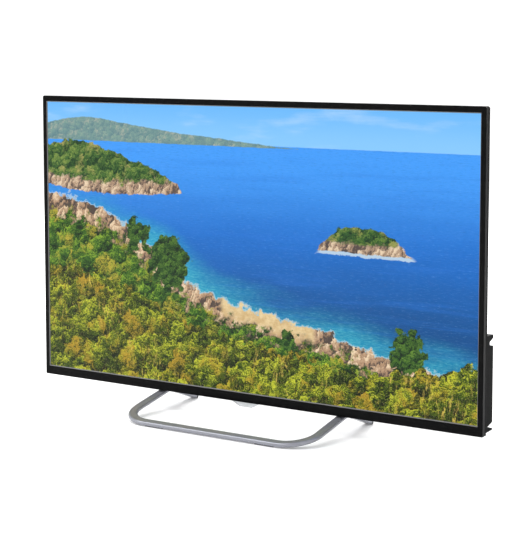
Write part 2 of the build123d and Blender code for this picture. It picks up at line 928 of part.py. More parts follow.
# Flat ribbon from the timing board down the chassis and over the main board's top edge
with BuildPart() as panel_ribbon_cable:
    ribbon_y = chassis_back_y + ribbon_thickness / 2
    ribbon_over_y = board_back_y + ribbon_thickness / 2
    board_high_z = board_low_z + board_height
    with BuildLine() as ribbon_path:
        FilletPolyline(
            (ribbon_x, ribbon_y, tcon_z - tcon_height / 2),
            (ribbon_x, ribbon_y, low_z + ribbon_turn_height),
            (ribbon_x, ribbon_over_y, board_high_z + ribbon_overlap),
            (ribbon_x, ribbon_over_y, board_high_z - ribbon_overlap),
            radius=ribbon_bend,
        )
    ribbon_start = Plane(ribbon_path.line @ 0, x_dir=(1, 0, 0), z_dir=ribbon_path.line % 0)
    with BuildSketch(ribbon_start):
        Rectangle(ribbon_width, ribbon_thickness)
    sweep(path=ribbon_path.line)
keep(panel_ribbon_cable, "panel_ribbon_cable")


def round_lead(path, radius):
    """Round lead along a path of straight runs and tangent bends."""
    with BuildSketch(Plane(path @ 0, z_dir=path % 0)) as lead_section:
        Circle(radius)
    sweep(lead_section.sketch, path=path)


# Leads inside the electronics cover
with BuildPart() as power_harness:
    harness_z = board_low_z + power_sink_z + power_sink_height / 2 + harness_gap
    harness_far_y = board_back_y + harness_lift
    power_edge_x = power_board_x + power_board_width / 2 - harness_reach
    main_edge_x = main_board_x - main_board_width / 2 + harness_reach
    with BuildLine() as harness_path:
        FilletPolyline(
            (power_edge_x, board_back_y, harness_z),
            (power_edge_x, harness_far_y, harness_z),
            (main_edge_x, harness_far_y, harness_z),
            (main_edge_x, board_back_y, harness_z),
            radius=harness_bend,
        )
    round_lead(harness_path.line, harness_radius)
keep(power_harness, "power_harness")

speaker_high_z = low_z + speaker_low + speaker_height
with BuildPart() as speaker_leads:
    lead_z = harness_z + lead_gap
    lead_y = board_back_y + lead_lift
    for side in (-1, 1):
        lead_start_x = main_board_x + side * (main_board_width / 2 - harness_reach)
        lead_end_x = side * (speaker_x - speaker_length / 2 + lead_end_inset)
        with BuildLine() as lead_path:
            FilletPolyline(
                (lead_start_x, board_back_y, lead_z),
                (lead_start_x, lead_y, lead_z),
                (lead_end_x, lead_y, lead_z),
                (lead_end_x, lead_y, speaker_high_z),
                radius=lead_bend,
            )
        round_lead(lead_path.line, lead_radius)
keep(speaker_leads, "speaker_leads")


def shell_socket(x, width, height, depth):
    """Thin metal socket open below, with its tongue along the middle."""
    block(x, socket_y, socket_z, width, height, depth)
    mouth_width = width - 2 * socket_wall
    mouth_height = height - 2 * socket_wall
    mouth_depth = depth - socket_wall
    mouth_y = socket_y + socket_wall
    block(x, mouth_y, socket_z, mouth_width, mouth_height, mouth_depth, Mode.SUBTRACT)
    tongue_y = socket_y + (height - tongue_thickness) / 2
    tongue_width = mouth_width * tongue_share
    tongue_z = socket_z + tongue_thickness
    block(x, tongue_y, tongue_z, tongue_width, tongue_thickness, mouth_depth - tongue_thickness)


# Sockets
with BuildPart() as hdmi_sockets:
    for socket_x in spots_of("hdmi"):
        shell_socket(socket_x, hdmi_width, hdmi_height, hdmi_depth)
keep(hdmi_sockets, "hdmi_sockets")

with BuildPart() as usb_sockets:
    for socket_x in spots_of("usb"):
        shell_socket(socket_x, usb_width, usb_height, usb_depth)
keep(usb_sockets, "usb_sockets")

with BuildPart() as network_socket:
    network_x = spots_of("network")[0]
    block(network_x, socket_y, socket_z, network_width, network_height, network_depth)
    block(
        network_x,
        socket_y + 2 * socket_wall,
        socket_z,
        network_width - 4 * socket_wall,
        network_height - 4 * socket_wall,
        network_depth - 2 * socket_wall,
        Mode.SUBTRACT,
    )
keep(network_socket, "network_socket")

with BuildPart() as antenna_socket:
    antenna_x = spots_of("antenna")[0]
    block(antenna_x, socket_y, socket_z, antenna_width, antenna_width, antenna_depth)
    antenna_axis = (antenna_x, socket_y + antenna_width / 2)
    antenna_bore = antenna_depth - 2 * socket_wall
    with BuildSketch(Plane.XY.offset(socket_z)):
        with Locations(antenna_axis):
            Circle(antenna_radius)
            Circle(antenna_pin_radius, mode=Mode.SUBTRACT)
    extrude(amount=antenna_bore, mode=Mode.SUBTRACT)
keep(antenna_socket, "antenna_socket")

with BuildPart() as audio_socket:
    audio_x = spots_of("audio")[0]
    block(audio_x, socket_y, socket_z, audio_width, audio_height, audio_depth)
    with BuildSketch(Plane.XY.offset(socket_z)):
        with Locations((audio_x, socket_y + audio_height / 2)):
            Circle(audio_radius)
    extrude(amount=audio_depth - socket_wall, mode=Mode.SUBTRACT)
keep(audio_socket, "audio_socket")

# Mains inlet, whose flange closes the top of its recess
with BuildPart() as mains_inlet:
    block(mains_recess_x, socket_y, socket_z, inlet_width, inlet_height, inlet_depth)
    block(
        mains_recess_x,
        recess_y + socket_clearance,
        socket_z,
        mains_recess_width - 2 * socket_clearance,
        ceiling_depth - 2 * socket_clearance,
        deep_wall,
    )
    inlet_axis = (mains_recess_x, socket_y + inlet_height / 2)
    with BuildSketch(Plane.XY.offset(socket_z)):
        with Locations(inlet_axis):
            SlotOverall(inlet_mouth_width, inlet_mouth_height)
    extrude(amount=inlet_mouth_depth, mode=Mode.SUBTRACT)
    pin_low_z = socket_z + inlet_mouth_depth - inlet_pin_length
    with BuildSketch(Plane.XY.offset(pin_low_z)):
        with Locations(inlet_axis):
            with GridLocations(inlet_pin_spacing, 0, 2, 1):
                Circle(inlet_pin_radius)
    extrude(amount=inlet_pin_length)
keep(mains_inlet, "mains_inlet")


def speaker_box(side):
    """Closed box seated on the chassis, with an oblong hole for its driver below."""
    x = side * speaker_x
    z = low_z + speaker_low
    block(x, chassis_back_y, z, speaker_length, speaker_depth, speaker_height)
    block(
        x,
        chassis_back_y + speaker_wall,
        z + speaker_wall,
        speaker_length - 2 * speaker_wall,
        speaker_depth - 2 * speaker_wall,
        speaker_height - 2 * speaker_wall,
        Mode.SUBTRACT,
    )
    with BuildSketch(Plane.XY.offset(z)) as driver_hole:
        with Locations((x, chassis_back_y + speaker_depth / 2)):
            SlotOverall(cone_length - 2 * cone_rim, cone_width - 2 * cone_rim)
    extrude(driver_hole.sketch, amount=speaker_wall, mode=Mode.SUBTRACT)


def speaker_driver(side):
    """Oblong driver: a flange under the box, a dished cone through the hole, and a magnet."""
    x = side * speaker_x
    y = chassis_back_y + speaker_depth / 2
    z = low_z + speaker_low
    throat_length = cone_length - 2 * cone_rim - 2 * cone_fit
    throat_width = cone_width - 2 * cone_rim - 2 * cone_fit
    with BuildSketch(Plane.XY.offset(z - cone_flange)) as flange:
        with Locations((x, y)):
            SlotOverall(cone_length, cone_width)
    extrude(flange.sketch, amount=cone_flange)
    with BuildSketch(Plane.XY.offset(z)) as throat:
        with Locations((x, y)):
            SlotOverall(throat_length, throat_width)
    extrude(throat.sketch, amount=cone_depth + speaker_wall)
    with BuildSketch(Plane.XY.offset(z - cone_flange)) as dish:
        with Locations((x, y)):
            SlotOverall(throat_length - 2 * speaker_wall, throat_width - 2 * speaker_wall)
    extrude(dish.sketch, amount=cone_depth, taper=cone_taper, mode=Mode.SUBTRACT)
    magnet_z = z + cone_depth + speaker_wall
    block(x, y - magnet_width / 2, magnet_z, magnet_length, magnet_width, magnet_height)


# Loudspeakers
with BuildPart() as speaker_box_left:
    speaker_box(-1)
keep(speaker_box_left, "speaker_box_left")

with BuildPart() as speaker_box_right:
    speaker_box(1)
keep(speaker_box_right, "speaker_box_right")

with BuildPart() as speaker_driver_left:
    speaker_driver(-1)
keep(speaker_driver_left, "speaker_driver_left")

with BuildPart() as speaker_driver_right:
    speaker_driver(1)
keep(speaker_driver_right, "speaker_driver_right")

# Remote control window, hung under the bezel's bottom wall by its stem
with BuildPart() as ir_window:
    with BuildSketch(facing(front_y + window_setback)):
        with BuildLine():
            Polyline(
                (-window_top_width / 2, low_z),
                (-window_bottom_width / 2, low_z - window_drop),
                (window_bottom_width / 2, low_z - window_drop),
                (window_top_width / 2, low_z),
                close=True,
            )
        make_face()
    extrude(amount=-window_depth)
    block(0, stem_y, low_z, window_stem_width, window_stem_depth, window_stem_rise)
keep(ir_window, "ir_window")

with BuildPart() as ir_board:
    receiver_board_y = stem_y + window_stem_depth
    receiver_board_z = low_z + bezel_wall
    block(
        0,
        receiver_board_y,
        receiver_board_z,
        receiver_board_width,
        thin_board_thickness,
        receiver_board_height,
    )
    receiver_y = receiver_board_y - receiver_size
    receiver_height = receiver_board_z + receiver_board_height - low_z - window_stem_rise
    block(
        0,
        receiver_y,
        low_z + window_stem_rise,
        receiver_width,
        receiver_size,
        receiver_height,
    )
keep(ir_board, "ir_board")

# Key board, its switches and the keys
with BuildPart() as key_board:
    board_face_y = switch_y - thin_board_thickness
    panel(key_x, key_board_z, key_board_width, key_board_height, board_face_y, thin_board_thickness)
keep(key_board, "key_board")

with BuildPart() as key_switches:
    for place_x, place_z in key_places:
        panel(place_x, place_z, switch_size, switch_size, switch_y, switch_height)
keep(key_switches, "key_switches")

for key_name, key_place in zip(key_names, key_places):
    with BuildPart() as key:
        key_cap_depth = key_flange_gap + deep_wall + key_stand
        studs([key_place], key_radius, key_flange_y + key_flange_thickness, key_cap_depth)
        fillet(key.faces().sort_by(Axis.Y)[-1].edges(), radius=key_round)
        studs([key_place], key_flange_radius, key_flange_y, key_flange_thickness)
        studs([key_place], key_stem_radius, key_stem_y, key_stem_length)
    keep(key, f"{key_name}_key")

# Stand: one oval tube, bent over each leg and round the two front corners
apex_point = (leg_x, apex_y, apex_z)
corner_point = (leg_x, bar_y, bar_z)
tube_end_point = (leg_x, tube_end_y, tube_end_z)


def to_left(point):
    """The same point on the viewer's left."""
    return (-point[0], point[1], point[2])


with BuildLine() as stand_path:
    FilletPolyline(
        to_left(tube_end_point),
        to_left(apex_point),
        to_left(corner_point),
        corner_point,
        apex_point,
        tube_end_point,
        radius=(apex_bend, corner_bend, corner_bend, apex_bend),
    )
tube_start = Plane(stand_path.line @ 0, x_dir=(1, 0, 0), z_dir=stand_path.line % 0)

with BuildPart() as tube_outside:
    with BuildSketch(tube_start):
        SlotOverall(tube_width, tube_height)
    sweep(path=stand_path.line)

with BuildPart() as stand_tube:
    with BuildSketch(tube_start):
        SlotOverall(tube_width, tube_height)
        SlotOverall(tube_width - 2 * tube_wall, tube_height - 2 * tube_wall, mode=Mode.SUBTRACT)
    sweep(path=stand_path.line)
keep(stand_tube, "stand_tube")

with BuildPart() as bar_pads:
    for side in (-1, 1):
        block(
            side * bar_pad_x,
            bar_y - bar_pad_width / 2,
            0,
            bar_pad_length,
            bar_pad_width,
            bar_z,
        )
    add(tube_outside.part, mode=Mode.SUBTRACT)
keep(bar_pads, "bar_pads")


def foot_cap(cap, side):
    """End cap with a plug inside the tube, cut flat where it stands on the floor."""
    end = Plane(
        (side * leg_x, tube_end_y, tube_end_z),
        x_dir=(1, 0, 0),
        z_dir=(0, cos(rear_slope), -sin(rear_slope)),
    )
    inner_width = tube_width - 2 * tube_wall - 2 * foot_plug_clearance
    inner_height = tube_height - 2 * tube_wall - 2 * foot_plug_clearance
    with BuildSketch(end) as cap_face:
        SlotOverall(tube_width, tube_height)
    extrude(cap_face.sketch, amount=foot_cap_length)
    fillet(cap.faces().sort_by(Axis.Y)[-1].edges(), radius=foot_cap_round)
    with BuildSketch(end) as plug_face:
        SlotOverall(inner_width, inner_height)
    extrude(plug_face.sketch, amount=-foot_plug_length)
    below_y = tube_end_y - tube_width
    block(side * leg_x, below_y, -tube_width, 2 * tube_width, 3 * tube_width, tube_width, Mode.SUBTRACT)


with BuildPart() as foot_cap_left:
    foot_cap(foot_cap_left, -1)
keep(foot_cap_left, "foot_cap_left")

with BuildPart() as foot_cap_right:
    foot_cap(foot_cap_right, 1)
keep(foot_cap_right, "foot_cap_right")


def stand_bracket(side):
    """Plate welded astride the tube's apex, with two holes for the stand's screws."""
    x = side * leg_x
    top_z = low_z + bracket_rise
    block(x, bracket_y, apex_axis_z, bracket_width, bracket_thickness, top_z - apex_axis_z)
    places = [place for place in stand_screw_places if place[0] * side > 0]
    hole_radius = stand_screw_radius + hole_clearance
    studs(places, hole_radius, bracket_y, bracket_thickness, Mode.SUBTRACT)
    add(tube_outside.part, mode=Mode.SUBTRACT)


with BuildPart() as stand_bracket_left:
    stand_bracket(-1)
    fillet(
        stand_bracket_left.edges().filter_by(Axis.Y).group_by(Axis.Z)[-1], radius=bracket_corner
    )
keep(stand_bracket_left, "stand_bracket_left")

with BuildPart() as stand_bracket_right:
    stand_bracket(1)
    fillet(
        stand_bracket_right.edges().filter_by(Axis.Y).group_by(Axis.Z)[-1], radius=bracket_corner
    )
keep(stand_bracket_right, "stand_bracket_right")

# Steel blocks on the chassis that take the stand's screws
with BuildPart() as stand_mount_blocks:
    block_depth = bracket_y - chassis_back_y
    block_low_z = low_z + mount_block_low
    block_height = bracket_rise - mount_block_low
    for side in (-1, 1):
        block(side * leg_x, chassis_back_y, block_low_z, mount_block_width, block_depth, block_height)
    tap_radius = stand_screw_radius + thread_clearance
    studs(
        stand_screw_places,
        tap_radius,
        bracket_y - stand_screw_bite - overrun,
        stand_screw_bite + overrun,
        Mode.SUBTRACT,
    )
keep(stand_mount_blocks, "stand_mount_blocks")

with BuildPart() as stand_screws:
    screws(
        stand_screw_places,
        bracket_back_y,
        stand_screw_radius,
        stand_screw_head_radius,
        stand_screw_head_height,
        stand_screw_bite + bracket_thickness,
    )
keep(stand_screws, "stand_screws")
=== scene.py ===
import json
from math import cos, pi, radians, sin

import bpy
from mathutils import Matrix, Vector


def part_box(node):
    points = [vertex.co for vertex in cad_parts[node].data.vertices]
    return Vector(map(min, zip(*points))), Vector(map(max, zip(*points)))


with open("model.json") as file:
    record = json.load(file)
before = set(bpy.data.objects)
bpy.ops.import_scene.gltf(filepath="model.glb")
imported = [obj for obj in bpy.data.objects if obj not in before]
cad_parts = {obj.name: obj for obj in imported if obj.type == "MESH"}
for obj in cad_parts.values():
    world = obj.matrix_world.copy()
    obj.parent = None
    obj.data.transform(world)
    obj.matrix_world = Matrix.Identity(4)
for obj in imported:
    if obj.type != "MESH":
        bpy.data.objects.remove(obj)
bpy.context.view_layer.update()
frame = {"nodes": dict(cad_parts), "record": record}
nodes = frame["nodes"]
scene = bpy.context.scene

# Places read from the frame, in metres
bezel_low, bezel_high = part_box("front_bezel")
face_y = bezel_low.y
set_low = bezel_low.z
set_high = bezel_high.z
set_width = bezel_high.x - bezel_low.x

# Screen, as the bezel leaves it open
bezel_side = 0.0109
bezel_bottom = 0.0186
bezel_top = 0.0124
inner_bevel = 0.0016
bevel_blur = 0.0002
screen_left = bezel_low.x + bezel_side
screen_low = set_low + bezel_bottom
screen_width = set_width - 2 * bezel_side
screen_height = set_high - bezel_top - screen_low
screen_shape = screen_width / screen_height

# Camera, measured from the middle of the bezel's lower front edge
camera_right = 1.5951
camera_forward = 2.4046
camera_rise = 0.6693
camera_yaw = 32.84
camera_pitch = 5.32
lens = 106.26
lens_shift = -0.15

# Floor and the wall round it
floor_radius = 5.0
wall_curve = 3.0
wall_height = 6.0
wall_steps = 20
wall_sides = 96
paper_glow = 0.14

# Softboxes: place, the point that each is aimed at, width, height and power in watts
set_middle = (0.0, 0.0, 0.3)
softboxes = {
    "top_light": ((-1.75, -0.7, 2.6), (-1.75, -0.7, 0.0), 2.6, 1.3, 54.0),
    "left_light": ((-2.6, -1.6, 1.2), set_middle, 1.2, 1.8, 8.0),
    "back_light": ((-1.7, 2.9, 2.1), set_middle, 2.0, 1.5, 110.0),
    "right_light": ((2.8, 1.6, 1.5), (0.4, 0.0, 0.3), 1.4, 1.6, 6.0),
}


def srgb(red, green, blue):
    """Scene colour of a shade named by its screen values from 0 to 255."""
    levels = [value / 255 for value in (red, green, blue)]
    return tuple(v / 12.92 if v <= 0.04045 else ((v + 0.055) / 1.055) ** 2.4 for v in levels)


def grey(level):
    """Neutral scene colour."""
    return (level, level, level)


def plug(tree, socket, value):
    """Joins a signal to a socket, or sets a plain number or colour on it."""
    if isinstance(value, Signal):
        tree.links.new(value.socket, socket)
    elif isinstance(value, tuple) and socket.type == "RGBA":
        socket.default_value = (*value, 1.0)
    else:
        socket.default_value = value


class Signal:
    """A value that varies over a surface. It adds and multiplies like a number."""

    def __init__(self, tree, socket):
        self.tree = tree
        self.socket = socket

    def math(self, operation, *others):
        """Result of a maths node that takes this value first."""
        node = self.tree.nodes.new("ShaderNodeMath")
        node.operation = operation
        for place, value in enumerate((self, *others)):
            plug(self.tree, node.inputs[place], value)
        return Signal(self.tree, node.outputs[0])

    def __add__(self, other):
        return self.math("ADD", other)

    def __sub__(self, other):
        return self.math("SUBTRACT", other)

    def __mul__(self, other):
        return self.math("MULTIPLY", other)

    def __truediv__(self, other):
        return self.math("DIVIDE", other)

    def __rsub__(self, other):
        return (self * -1.0) + other

    __radd__ = __add__
    __rmul__ = __mul__

    def blend(self, low, high):
        """0 below low and 1 above high, with a smooth rise between them, or a fall if low is higher."""
        node = self.tree.nodes.new("ShaderNodeMapRange")
        node.interpolation_type = "SMOOTHSTEP"
        plug(self.tree, node.inputs["Value"], self)
        plug(self.tree, node.inputs["From Min"], low)
        plug(self.tree, node.inputs["From Max"], high)
        return Signal(self.tree, node.outputs["Result"])


class Surface:
    """A material: one shader, and the textures that feed it."""

    def __init__(self, name):
        self.material = bpy.data.materials.new(name)
        self.material.use_nodes = True
        self.tree = self.material.node_tree
        self.shader = self.tree.nodes["Principled BSDF"]
        coordinates = self.tree.nodes.new("ShaderNodeTexCoord")
        self.place = Signal(self.tree, coordinates.outputs["Object"])

    def set(self, **sockets):
        """Sets the shader's sockets, named with low lines for spaces."""
        for name, value in sockets.items():
            plug(self.tree, self.shader.inputs[name.replace("_", " ")], value)

    def split(self, vector):
        """The three parts of a vector."""
        node = self.tree.nodes.new("ShaderNodeSeparateXYZ")
        plug(self.tree, node.inputs[0], vector)
        return [Signal(self.tree, output) for output in node.outputs]

    def join(self, x, y, z):
        """A vector from its three parts."""
        node = self.tree.nodes.new("ShaderNodeCombineXYZ")
        for socket, value in zip(node.inputs, (x, y, z)):
            plug(self.tree, socket, value)
        return Signal(self.tree, node.outputs[0])

    def vector(self, operation, a, b):
        """Result of a vector maths node, which is a plain number for a dot product."""
        node = self.tree.nodes.new("ShaderNodeVectorMath")
        node.operation = operation
        plug(self.tree, node.inputs[0], a)
        plug(self.tree, node.inputs[1], b)
        output = "Value" if operation == "DOT_PRODUCT" else "Vector"
        return Signal(self.tree, node.outputs[output])

    def stretched(self, place, x=1.0, y=1.0, z=1.0):
        """The same place, scaled along each axis, to feed a texture."""
        return self.vector("MULTIPLY", place, (x, y, z))

    def noise(self, place, scale, detail=4.0, rough=0.55):
        """Cloudy noise from 0 to 1."""
        node = self.tree.nodes.new("ShaderNodeTexNoise")
        plug(self.tree, node.inputs["Vector"], place)
        node.inputs["Scale"].default_value = scale
        node.inputs["Detail"].default_value = detail
        node.inputs["Roughness"].default_value = rough
        return Signal(self.tree, node.outputs[0])

    def swing(self, place, scale, detail=4.0, rough=0.55):
        """The same noise, moved down so that it swings about zero."""
        return self.noise(place, scale, detail, rough) - 0.5

    def cells(self, place, scale):
        """Cell texture: distance to the cell's middle, its own shade, and the middle itself."""
        node = self.tree.nodes.new("ShaderNodeTexVoronoi")
        plug(self.tree, node.inputs["Vector"], place)
        node.inputs["Scale"].default_value = scale
        return [Signal(self.tree, node.outputs[name]) for name in ("Distance", "Color", "Position")]

    def curve(self, across, points):
        """Height of a line drawn through a few points, read at a place across."""
        node = self.tree.nodes.new("ShaderNodeFloatCurve")
        line = node.mapping.curves[0]
        line.points[0].location = points[0]
        line.points[1].location = points[-1]
        for x, y in points[1:-1]:
            line.points.new(x, y)
        node.mapping.update()
        plug(self.tree, node.inputs["Value"], across)
        return Signal(self.tree, node.outputs["Value"])

    def mix(self, share, below, above):
        """Colour that goes from below to above as share goes from 0 to 1."""
        node = self.tree.nodes.new("ShaderNodeMix")
        node.data_type = "RGBA"
        plug(self.tree, node.inputs[0], share)
        plug(self.tree, node.inputs[6], below)
        plug(self.tree, node.inputs[7], above)
        return Signal(self.tree, node.outputs[2])

    def bump(self, height, distance, strength=1.0):
        """Surface relief from a height signal, over a distance in metres."""
        node = self.tree.nodes.new("ShaderNodeBump")
        node.inputs["Strength"].default_value = strength
        node.inputs["Distance"].default_value = distance
        plug(self.tree, node.inputs["Height"], height)
        self.set(Normal=Signal(self.tree, node.outputs["Normal"]))


# Light on the clumps of the made-up view, and how each clump darkens from its middle out
sun_on_bushes = (-0.45, 0.95, 0.0)
sun_on_rocks = (-0.7, 0.75, 0.0)
middle_glow = 0.12
edge_shade = 0.35

# Sizes of detail in bushes and rocks, as multiples of the scale of their largest clumps
branch_ratio = 3.1
sprig_ratio = 8.5
leaf_ratio = 17.0
drift_ratio = 0.6
chip_ratio = 2.9
grain_ratio = 9.0

# What each size of detail, and a clump's own shade, add to the brightness
bush_share = 0.5
branch_share = 0.45
sprig_share = 0.6
leaf_share = 2.0
drift_share = 0.7
block_share = 0.75
chip_share = 0.6
grain_share = 1.3
own_share = 0.2

# Brightness over which one colour gives way to the next
hollow_to_leaf = (-0.42, -0.06)
leaf_to_sun = (0.04, 0.42)
plain_to_tint = (-0.35, 0.25)
crack_to_stone = (-0.5, -0.05)
stone_to_sun = (-0.05, 0.45)

# Where the second tint grows: by bush, by drift, by branch, and the levels between which it sets in
bush_tint = 0.45
drift_tint = 1.2
branch_tint = 0.2
tint_levels = (0.3, 0.62)

# Bends that make clumps ragged: how many to a clump, and how far they reach in clumps
bush_bends = 1.6
bush_bend_reach = 1.5
rock_bends = 1.3
rock_bend_reach = 1.3

# Shift from the noise that bends places sideways to the one that bends them up and down
noise_shift = (7.3, 2.1, 0.0)


def clumps(paint, place, scale, light):
    """Rounded clumps lit from one side: brightness of each point and a shade for each clump."""
    distance, shade, middle = paint.cells(place, scale)
    offset = paint.vector("SUBTRACT", place, middle)
    lit = paint.vector("DOT_PRODUCT", offset, light) * scale
    return lit - distance * edge_shade + middle_glow, paint.split(shade)[0]


def bent(paint, place, scale, reach):
    """The same place, pushed about by two noises, so that what is drawn there has ragged edges."""
    shifted = paint.vector("ADD", place, noise_shift)
    across = paint.swing(place, scale, detail=6.0, rough=0.65)
    up = paint.swing(shifted, scale, detail=6.0, rough=0.65)
    return paint.vector("ADD", place, paint.join(across * reach, up * reach, 0.0))


def foliage(paint, place, scale, dark, mid, bright, accent):
    """Bushes as clumps of clumps, from dark hollows to bright tops, with some in another tint."""
    ragged = bent(paint, place, scale * bush_bends, bush_bend_reach / scale)
    bushes, bush_shade = clumps(paint, ragged, scale, sun_on_bushes)
    branches, branch_shade = clumps(paint, ragged, scale * branch_ratio, sun_on_bushes)
    sprigs, _ = clumps(paint, ragged, scale * sprig_ratio, sun_on_bushes)
    leaves = paint.swing(place, scale * leaf_ratio, detail=5.0, rough=0.75)
    drift = paint.swing(place, scale * drift_ratio, detail=3.0)
    lit = bushes * bush_share + branches * branch_share + sprigs * sprig_share
    lit = lit + leaves * leaf_share + drift * drift_share
    colour = paint.mix(lit.blend(*hollow_to_leaf), dark, mid)
    sunlit = lit + branch_shade * own_share - own_share / 2
    colour = paint.mix(sunlit.blend(*leaf_to_sun), colour, bright)
    tint = bush_shade * bush_tint + drift * drift_tint + branch_shade * branch_tint
    return paint.mix(tint.blend(*tint_levels) * lit.blend(*plain_to_tint), colour, accent)


def rocks(paint, place, scale, dark, mid, bright):
    """Weathered rock: lit blocks, dark cracks and a fine grain."""
    upright = paint.stretched(place, y=0.72)
    ragged = bent(paint, upright, scale * rock_bends, rock_bend_reach / scale)
    blocks, block_shade = clumps(paint, ragged, scale, sun_on_rocks)
    chips, _ = clumps(paint, ragged, scale * chip_ratio, sun_on_rocks)
    grain = paint.swing(place, scale * grain_ratio, detail=6.0, rough=0.75)
    lit = blocks * block_share + chips * chip_share + grain * grain_share
    lit = lit + block_shade * own_share - own_share / 2
    colour = paint.mix(lit.blend(*crack_to_stone), dark, mid)
    return paint.mix(lit.blend(*stone_to_sun), colour, bright)


# Outlines in the made-up view, as places across and up the screen from 0 to 1
horizon = 0.868
hill_line = [(0.0, 0.925), (0.1, 0.95), (0.2, 0.932), (0.33, 0.905)]
hill_line += [(0.46, 0.886), (0.6, 0.866), (1.0, 0.85)]
shallows_line = [(0.0, 0.7), (0.15, 0.66), (0.3, 0.58), (0.42, 0.45)]
shallows_line += [(0.55, 0.37), (0.7, 0.33), (1.0, 0.22)]
headland_line = [(0.0, 0.845), (0.09, 0.86), (0.18, 0.825), (0.27, 0.775)]
headland_line += [(0.335, 0.715), (0.4, 0.5), (1.0, 0.0)]
headland_foot = [(0.0, 0.69), (0.12, 0.668), (0.25, 0.672), (0.4, 0.69), (1.0, 0.69)]
islet_line = [(0.0, 0.0), (0.6, 0.4), (0.665, 0.53), (0.71, 0.6), (0.77, 0.615)]
islet_line += [(0.83, 0.575), (0.93, 0.4), (1.0, 0.0)]
islet_foot = 0.522
coast_line = [(0.0, 0.655), (0.1, 0.64), (0.18, 0.585), (0.26, 0.5), (0.34, 0.395)]
coast_line += [(0.44, 0.325), (0.56, 0.285), (0.68, 0.25), (0.8, 0.19), (1.0, 0.15)]
cove_share = [(0.0, 0.0), (0.4, 0.0), (0.47, 0.9), (0.56, 1.0), (0.64, 0.8), (0.7, 0.0), (1.0, 0.0)]
near_line = [(0.0, 0.4), (0.1, 0.385), (0.22, 0.33), (0.34, 0.245), (0.47, 0.185)]
near_line += [(0.6, 0.165), (0.74, 0.12), (0.86, 0.15), (1.0, 0.2)]

# Lone trees: place across, place up, and reach of the crown
trees = [(0.315, 0.43, 0.1), (0.235, 0.52, 0.065), (0.86, 0.2, 0.08), (0.6, 0.19, 0.05)]
crown_squeeze = 0.82
crown_trim = 0.01
puff_size = 0.45

# Heights in the made-up view, as shares of the screen's height
sky_end = 1.02
sea_swell = 0.1
mid_sea_reach = (0.24, 0.6)
far_sea_reach = (0.5, 0.84)
shallows_swell = 0.16
shallows_shift = 0.05
shallows_fade = (0.05, -0.10)
hill_sink = 0.008
headland_cliff = 0.05
headland_cliff_edge = (-0.006, 0.012)
islet_cliff = 0.036
islet_cliff_edge = (-0.006, 0.010)
surf_above = 0.008
surf_below = 0.012
surf_inset = 0.02
foam_width = 0.008
foam_edge = 0.006
rock_to_bush = (0.05, 0.085)
sand_fade = (0.065, 0.035)
sharp_edge = 0.003
soft_edge = 0.004
leafy_edge = 0.005

# How much of a layer covers what lies behind it
cloud_cover = 0.4
lane_cover = 0.3
light_wave_cover = 0.4
dark_wave_cover = 0.35
haze_cover = 0.3
shallows_cover = 0.85
surf_cover = 0.7
foam_cover = 0.45
cove_cover = (0.3, 0.6)
straw_cover = 0.85
glint_cover = 0.6
gap_cover = 0.8

# Bushes: clumps to a screen's height, dark hollows, leaves in shade, leaves in the sun, second tint
hill_bushes = (42.0, srgb(58, 96, 92), srgb(98, 134, 112), srgb(140, 162, 122), srgb(176, 172, 138))
headland_bushes = (25.0, srgb(20, 52, 26), srgb(66, 110, 46), srgb(138, 160, 72), srgb(178, 168, 96))
islet_bushes = (29.0, srgb(16, 44, 24), srgb(52, 98, 42), srgb(124, 154, 64), srgb(160, 160, 84))
coast_bushes = (19.0, srgb(10, 32, 12), srgb(58, 106, 28), srgb(150, 184, 52), srgb(190, 172, 58))
tree_crowns = (33.0, srgb(6, 24, 12), srgb(36, 80, 30), srgb(110, 150, 52), srgb(78, 118, 40))
near_bushes = (15.0, srgb(10, 24, 2), srgb(74, 98, 10), srgb(208, 212, 54), srgb(186, 150, 40))

# Rocks: blocks to a screen's height, cracks, faces in shade, faces in the sun
headland_rocks = (27.0, srgb(92, 78, 72), srgb(186, 154, 126), srgb(236, 212, 180))
islet_rocks = (24.0, srgb(84, 72, 68), srgb(176, 146, 120), srgb(234, 210, 178))
coast_rocks = (16.0, srgb(82, 70, 64), srgb(184, 148, 116), srgb(240, 214, 178))

# Sky, water and ground
low_sky = srgb(136, 202, 254)
high_sky = srgb(108, 186, 252)
cloud_white = srgb(214, 236, 255)
hill_haze = srgb(150, 190, 210)
near_sea = srgb(4, 78, 142)
mid_sea = srgb(22, 112, 206)
far_sea = srgb(66, 158, 252)
lane_blue = srgb(40, 122, 222)
wave_light = srgb(120, 190, 250)
wave_dark = srgb(6, 66, 140)
shallow_blue = srgb(24, 158, 196)
shallow_pale = srgb(96, 208, 214)
surf_white = srgb(214, 236, 240)
foam_white = srgb(222, 240, 240)
sand_dark = srgb(206, 172, 118)
sand_pale = srgb(240, 216, 166)
straw_pale = srgb(240, 208, 92)
straw_dark = srgb(70, 40, 10)
leaf_glint = srgb(240, 234, 140)
leaf_gap = srgb(18, 24, 6)


